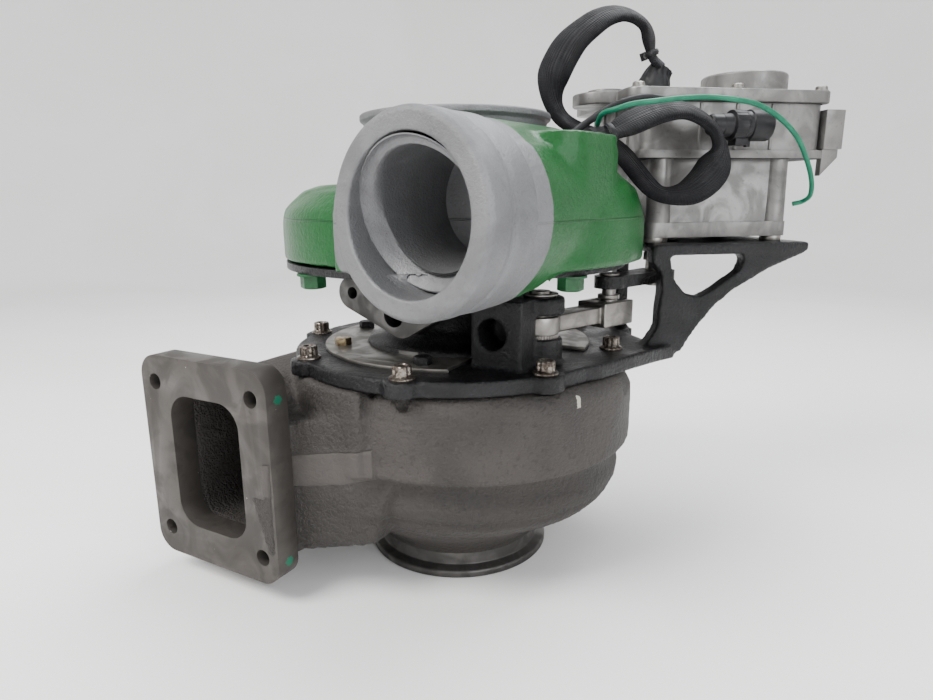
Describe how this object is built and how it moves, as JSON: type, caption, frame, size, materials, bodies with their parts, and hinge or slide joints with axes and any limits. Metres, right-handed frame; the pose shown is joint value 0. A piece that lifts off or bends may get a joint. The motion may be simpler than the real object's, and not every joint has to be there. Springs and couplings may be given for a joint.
{
  "type": "turbocharger",
  "caption": "Variable-geometry turbocharger: cast turbine scroll with square inlet flange, green compressor scroll, and an electric actuator with its harness on a bracket.",
  "frame": {"origin": "on the shaft axis at the face of the turbine outlet's V-band rim", "axes": "+Z along the shaft towards the compressor inlet; the turbine inlet flange faces -Y"},
  "size_m": [0.4296, 0.3976, 0.419],
  "materials": {
    "cast_iron": "rough sand-cast iron, matt brown-grey",
    "screw_bronze": "dark bronze flange screws",
    "black_casting": "oily near-black casting, soft sheen",
    "machined_steel": "fine machined",
    "brass_bolt": "dull yellow passivated",
    "bush_bronze": "sintered bronze",
    "seal_rubber": "matt black",
    "green_enamel": "semi-gloss enamel over cast texture",
    "red_plastic": "soft plastic cap",
    "die_cast": "mottled die-cast aluminium",
    "sleeve_black": "ribbed black sleeve",
    "connector_black": "moulded black plastic",
    "wire_green": "green wire insulation",
    "wheel_nickel": "heat-resistant casting",
    "wheel_aluminium": "machined forged aluminium"
  },
  "bodies": {
    "housing": {"turbine_housing": "cast_iron", "housing_screws": "screw_bronze", "support_flange": "black_casting", "cover_disc": "machined_steel", "disc_bolts": "brass_bolt", "bearing_housing": "black_casting", "nozzle_ring_lower": "machined_steel", "nozzle_ring_upper": "machined_steel", "cartridge_studs": "machined_steel", "heat_shield": "machined_steel", "lower_bush": "bush_bronze", "upper_bush": "machined_steel", "journal_bearings": "bush_bronze", "thrust_bearing": "bush_bronze", "compressor_backplate": "black_casting", "backplate_seal": "seal_rubber", "compressor_bolts": "green_enamel", "compressor_housing": "green_enamel", "port_cap": "red_plastic", "actuator_spacers": "machined_steel", "actuator_lower_housing": "die_cast", "actuator_mid_housing": "die_cast", "actuator_cover": "die_cast", "motor_can": "die_cast", "cover_screws": "machined_steel", "side_block": "die_cast", "harness_boot": "sleeve_black", "harness_sleeve": "sleeve_black", "connector_lead": "sleeve_black", "harness_connector": "connector_black", "ground_wire": "wire_green", "cable_ties": "connector_black"},
    "rotor": {"turbine_wheel": "wheel_nickel", "compressor_wheel": "wheel_aluminium", "rotor_locknut": "machined_steel", "thrust_collar": "machined_steel"},
    "control_lever_body": {"lever_shaft": "machined_steel", "control_lever": "machined_steel"},
    "unison_ring_body": {"unison_ring": "machined_steel"},
    "actuator_arm_body": {"output_shaft": "machined_steel", "actuator_arm": "black_casting", "drive_pin": "machined_steel"},
    "reduction_gear_body": {"reduction_gear": "bush_bronze"},
    "motor_rotor_body": {"motor_rotor": "machined_steel"},
    "vane_1_body": {"vane_1": "wheel_nickel"},
    "vane_2_body": {"vane_2": "wheel_nickel"},
    "vane_3_body": {"vane_3": "wheel_nickel"},
    "vane_4_body": {"vane_4": "wheel_nickel"},
    "vane_5_body": {"vane_5": "wheel_nickel"},
    "vane_6_body": {"vane_6": "wheel_nickel"},
    "vane_7_body": {"vane_7": "wheel_nickel"},
    "vane_8_body": {"vane_8": "wheel_nickel"},
    "vane_9_body": {"vane_9": "wheel_nickel"}
  },
  "joints": [
    {"name": "rotor_spin", "type": "hinge", "parent": "housing", "child": "rotor", "pos_m": [0, 0, 0.19], "axis": [0, 0, 1], "continuous": true},
    {"name": "lever_turn", "type": "hinge", "parent": "housing", "child": "control_lever_body", "pos_m": [0.0845, -0.034, 0.195], "axis": [0, 0, 1], "range_deg": [-11, 11]},
    {"name": "unison_ring_turn", "type": "hinge", "parent": "housing", "child": "unison_ring_body", "pos_m": [0, 0, 0.142], "axis": [0, 0, 1], "range_deg": [-2.05, 2.05]},
    {"name": "actuator_arm_turn", "type": "hinge", "parent": "housing", "child": "actuator_arm_body", "pos_m": [0.13081, 0.09323, 0.215], "axis": [0, 0, 1], "range_deg": [-14.47, 14.47]},
    {"name": "reduction_gear_turn", "type": "hinge", "parent": "housing", "child": "reduction_gear_body", "pos_m": [0.16067, 0.11793, 0.325], "axis": [0, 0, 1], "range_deg": [-49.62, 49.62]},
    {"name": "motor_turn", "type": "hinge", "parent": "housing", "child": "motor_rotor_body", "pos_m": [0.18224, 0.13578, 0.3], "axis": [0, 0, 1], "range_deg": [-148.87, 148.87]},
    {"name": "vane_1_turn", "type": "hinge", "parent": "housing", "child": "vane_1_body", "pos_m": [0.05997, -0.00201, 0.12], "axis": [0, 0, 1], "range_deg": [-12.31, 12.31]},
    {"name": "vane_2_turn", "type": "hinge", "parent": "housing", "child": "vane_2_body", "pos_m": [0.04723, 0.03701, 0.12], "axis": [0, 0, 1], "range_deg": [-12.31, 12.31]},
    {"name": "vane_3_turn", "type": "hinge", "parent": "housing", "child": "vane_3_body", "pos_m": [0.01239, 0.05871, 0.12], "axis": [0, 0, 1], "range_deg": [-12.31, 12.31]},
    {"name": "vane_4_turn", "type": "hinge", "parent": "housing", "child": "vane_4_body", "pos_m": [-0.02824, 0.05294, 0.12], "axis": [0, 0, 1], "range_deg": [-12.31, 12.31]},
    {"name": "vane_5_turn", "type": "hinge", "parent": "housing", "child": "vane_5_body", "pos_m": [-0.05566, 0.0224, 0.12], "axis": [0, 0, 1], "range_deg": [-12.31, 12.31]},
    {"name": "vane_6_turn", "type": "hinge", "parent": "housing", "child": "vane_6_body", "pos_m": [-0.05704, -0.01862, 0.12], "axis": [0, 0, 1], "range_deg": [-12.31, 12.31]},
    {"name": "vane_7_turn", "type": "hinge", "parent": "housing", "child": "vane_7_body", "pos_m": [-0.03172, -0.05093, 0.12], "axis": [0, 0, 1], "range_deg": [-12.31, 12.31]},
    {"name": "vane_8_turn", "type": "hinge", "parent": "housing", "child": "vane_8_body", "pos_m": [0.00843, -0.0594, 0.12], "axis": [0, 0, 1], "range_deg": [-12.31, 12.31]},
    {"name": "vane_9_turn", "type": "hinge", "parent": "housing", "child": "vane_9_body", "pos_m": [0.04465, -0.04008, 0.12], "axis": [0, 0, 1], "range_deg": [-12.31, 12.31]}
  ],
  "couplings": [
    {"joint": "unison_ring_turn", "follows": "lever_turn", "ratio": -0.18291},
    {"joint": "actuator_arm_turn", "follows": "lever_turn", "ratio": -1.29},
    {"joint": "reduction_gear_turn", "follows": "lever_turn", "ratio": 4.4229},
    {"joint": "motor_turn", "follows": "lever_turn", "ratio": -13.269},
    {"joint": "vane_1_turn", "follows": "lever_turn", "ratio": -1.0974},
    {"joint": "vane_2_turn", "follows": "lever_turn", "ratio": -1.0974},
    {"joint": "vane_3_turn", "follows": "lever_turn", "ratio": -1.0974},
    {"joint": "vane_4_turn", "follows": "lever_turn", "ratio": -1.0974},
    {"joint": "vane_5_turn", "follows": "lever_turn", "ratio": -1.0974},
    {"joint": "vane_6_turn", "follows": "lever_turn", "ratio": -1.0974},
    {"joint": "vane_7_turn", "follows": "lever_turn", "ratio": -1.0974},
    {"joint": "vane_8_turn", "follows": "lever_turn", "ratio": -1.0974},
    {"joint": "vane_9_turn", "follows": "lever_turn", "ratio": -1.0974}
  ]
}
